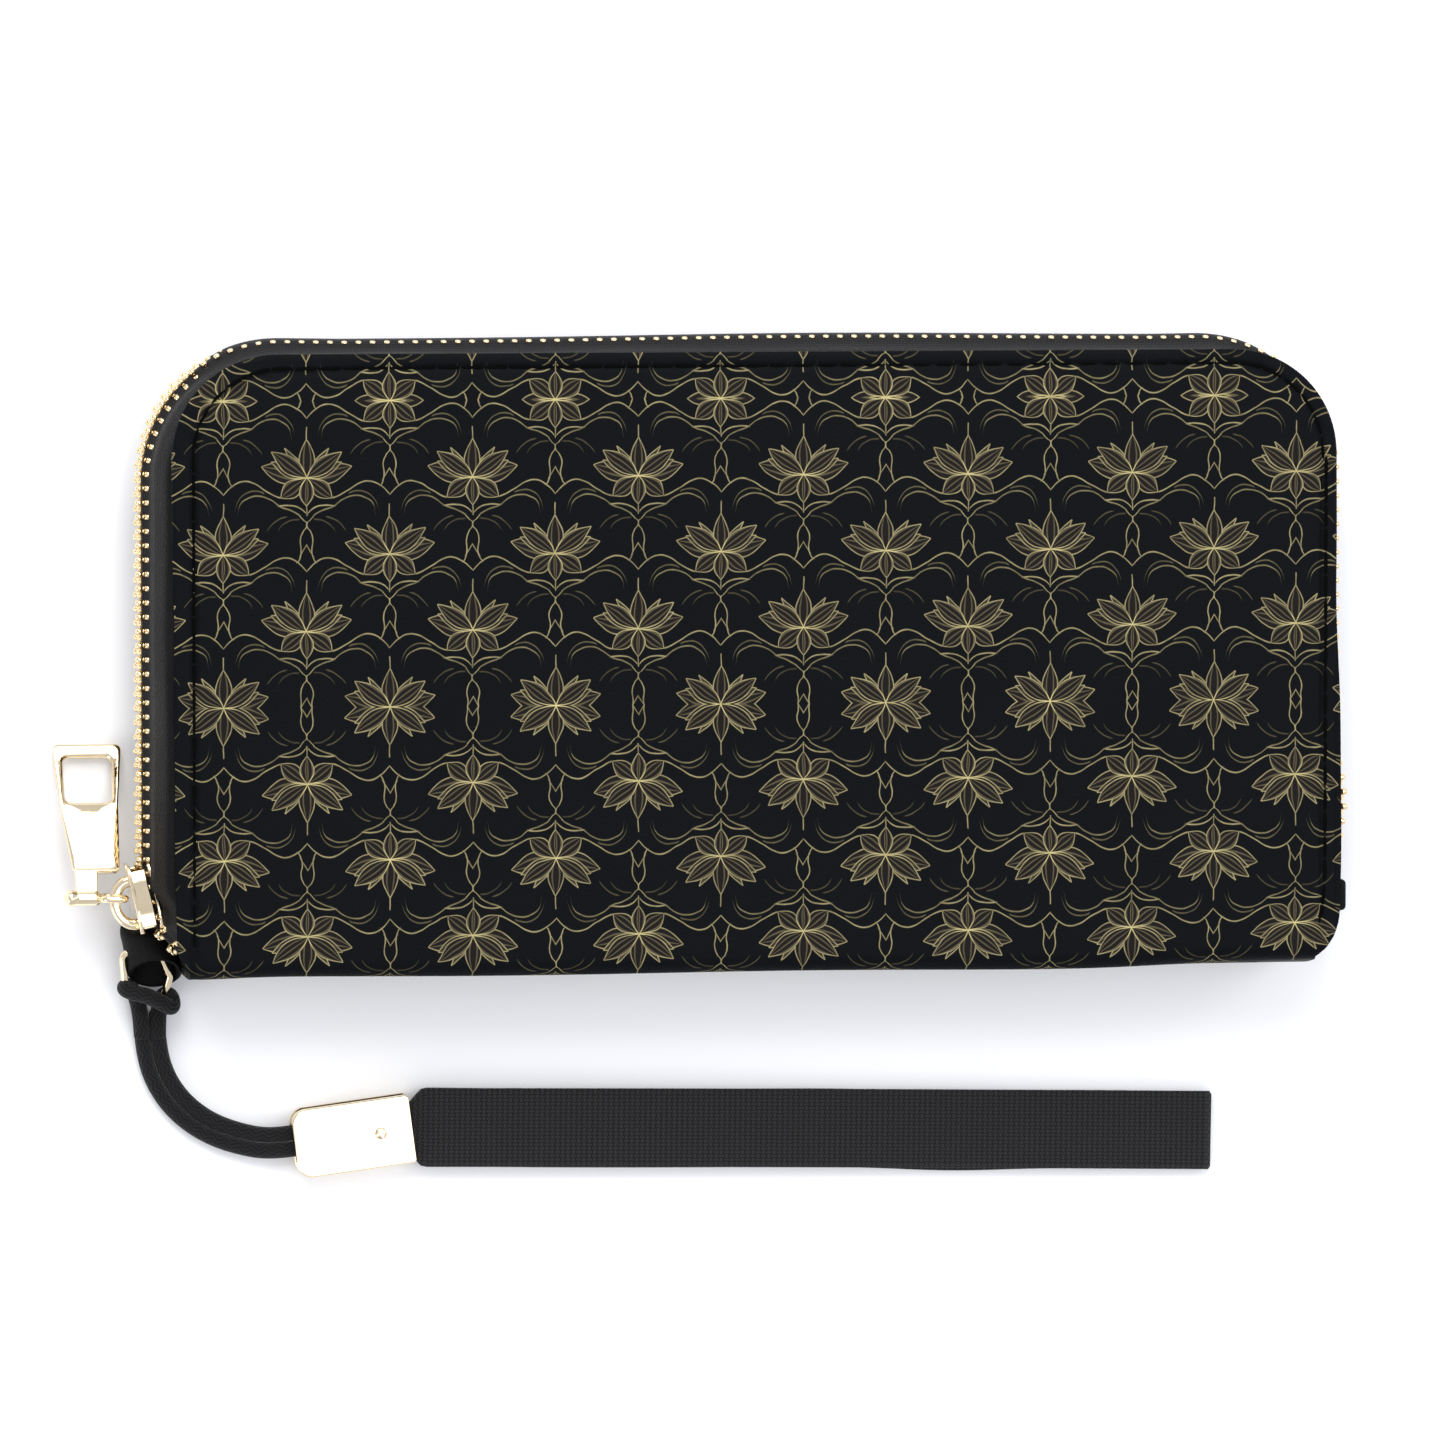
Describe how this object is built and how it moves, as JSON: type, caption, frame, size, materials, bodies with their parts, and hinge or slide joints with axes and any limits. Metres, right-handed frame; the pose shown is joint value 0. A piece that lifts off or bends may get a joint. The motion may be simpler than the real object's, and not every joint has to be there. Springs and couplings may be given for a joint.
{
  "type": "zip around wallet",
  "caption": "Long zip around wallet with a printed cover, card panels, a zipped coin pocket and a wrist strap hung on a ring.",
  "frame": {"origin": "middle of the back cover's outer face, on which the wallet lies", "axes": "+X along the wallet towards the end without the slider, +Y from the spine to the top zip, +Z from the back cover to the front cover"},
  "size_m": [0.2074, 0.1349, 0.025],
  "materials": {
    "printed_cover": "matt coated leather with a printed floral lattice",
    "board": "grey board",
    "lining": "woven lining",
    "card_panel": "fine grain",
    "zip_metal": "polished light gold",
    "zip_tape": "woven tape",
    "black_leather": "fine grain",
    "thread": "waxed thread",
    "cord": "braided",
    "webbing": "cross-ribbed weave",
    "screw": "polished",
    "gold_metal": "mirror-polished light gold"
  },
  "bodies": {
    "back_half": {"back_board": "board", "back_card_panel_1": "card_panel", "back_card_panel_2": "card_panel", "back_card_panel_3": "card_panel", "back_card_panel_4": "card_panel", "back_cover": "printed_cover", "back_lining": "lining", "gusset_left_back": "lining", "gusset_right_back": "lining", "seam_thread_back": "thread", "side_band_back": "black_leather", "strap_loop": "black_leather", "zip_end_tab": "black_leather", "zip_tape_back": "zip_tape", "zip_teeth_back": "zip_metal"},
    "spine": {"spine_cover": "printed_cover", "spine_lining": "lining", "coin_wall_back": "lining", "coin_wall_front": "lining", "coin_zip_tape_back": "zip_tape", "coin_zip_tape_front": "zip_tape", "coin_zip_teeth_back": "zip_metal", "coin_zip_teeth_front": "zip_metal", "gusset_left_front": "lining", "gusset_right_front": "lining"},
    "front_half": {"front_board": "board", "front_card_panel_1": "card_panel", "front_card_panel_2": "card_panel", "front_card_panel_3": "card_panel", "front_card_panel_4": "card_panel", "front_cover": "printed_cover", "front_lining": "lining", "zip_tape_front": "zip_tape", "side_band_front": "black_leather", "zip_teeth_front": "zip_metal", "seam_thread_front": "thread"},
    "slider": {"slider_body": "gold_metal", "slider_crown": "gold_metal"},
    "pull_link": {"pull_link": "gold_metal"},
    "pull_tab": {"pull_tab": "gold_metal"},
    "coin_slider": {"coin_slider": "gold_metal"},
    "coin_pull": {"coin_pull": "gold_metal"},
    "ring": {"ring": "gold_metal", "cord_hitch": "cord"},
    "strap": {"cord_strand_1": "cord", "cord_strand_2": "cord", "clamp_back_shell": "gold_metal", "clamp_front_plate": "gold_metal", "clamp_screw": "screw", "webbing": "webbing"}
  },
  "joints": [
    {"name": "spine_fold_back", "type": "hinge", "parent": "back_half", "child": "spine", "pos_m": [0, -0.05, 0.001], "axis": [1, 0, 0], "range_deg": [0, 45], "deforming": ["gusset_left_back", "gusset_right_back", "zip_teeth_back"]},
    {"name": "spine_fold_front", "type": "hinge", "parent": "spine", "child": "front_half", "pos_m": [0, -0.05, 0.024], "axis": [1, 0, 0], "range_deg": [0, 45], "deforming": ["gusset_left_front", "gusset_right_front", "zip_teeth_front"]},
    {"name": "slider_travel", "type": "slide", "parent": "back_half", "child": "slider", "axis": [0, 1, 0], "range_m": [0, 0.06]},
    {"name": "pull_swing", "type": "hinge", "parent": "slider", "child": "pull_link", "pos_m": [-0.09995, -0.03825, 0.0125], "axis": [0, 0, 1], "range_deg": [0, 30]},
    {"name": "pull_flip", "type": "hinge", "parent": "pull_link", "child": "pull_tab", "pos_m": [-0.106, -0.03825, 0.0125], "axis": [1, 0, 0], "range_deg": [0, 115]},
    {"name": "coin_slider_travel", "type": "slide", "parent": "spine", "child": "coin_slider", "axis": [1, 0, 0], "range_m": [0, 0.14]},
    {"name": "coin_pull_flip", "type": "hinge", "parent": "coin_slider", "child": "coin_pull", "pos_m": [-0.072, 0.0395, 0.0125], "axis": [0, 0, 1], "range_deg": [0, 150]},
    {"name": "ring_swing", "type": "hinge", "parent": "back_half", "child": "ring", "pos_m": [-0.094, -0.05085, 0.0058], "axis": [0, -0.9703, -0.2419], "range_deg": [0, 40]},
    {"name": "strap_sweep", "type": "hinge", "parent": "ring", "child": "strap", "pos_m": [-0.0953, -0.0576, 0.0025], "axis": [0, 0, 1], "range_deg": [-90, 0], "deforming": ["cord_strand_1", "cord_strand_2"]}
  ],
  "couplings": [
    {"joint": "spine_fold_front", "follows": "spine_fold_back", "ratio": 1}
  ]
}
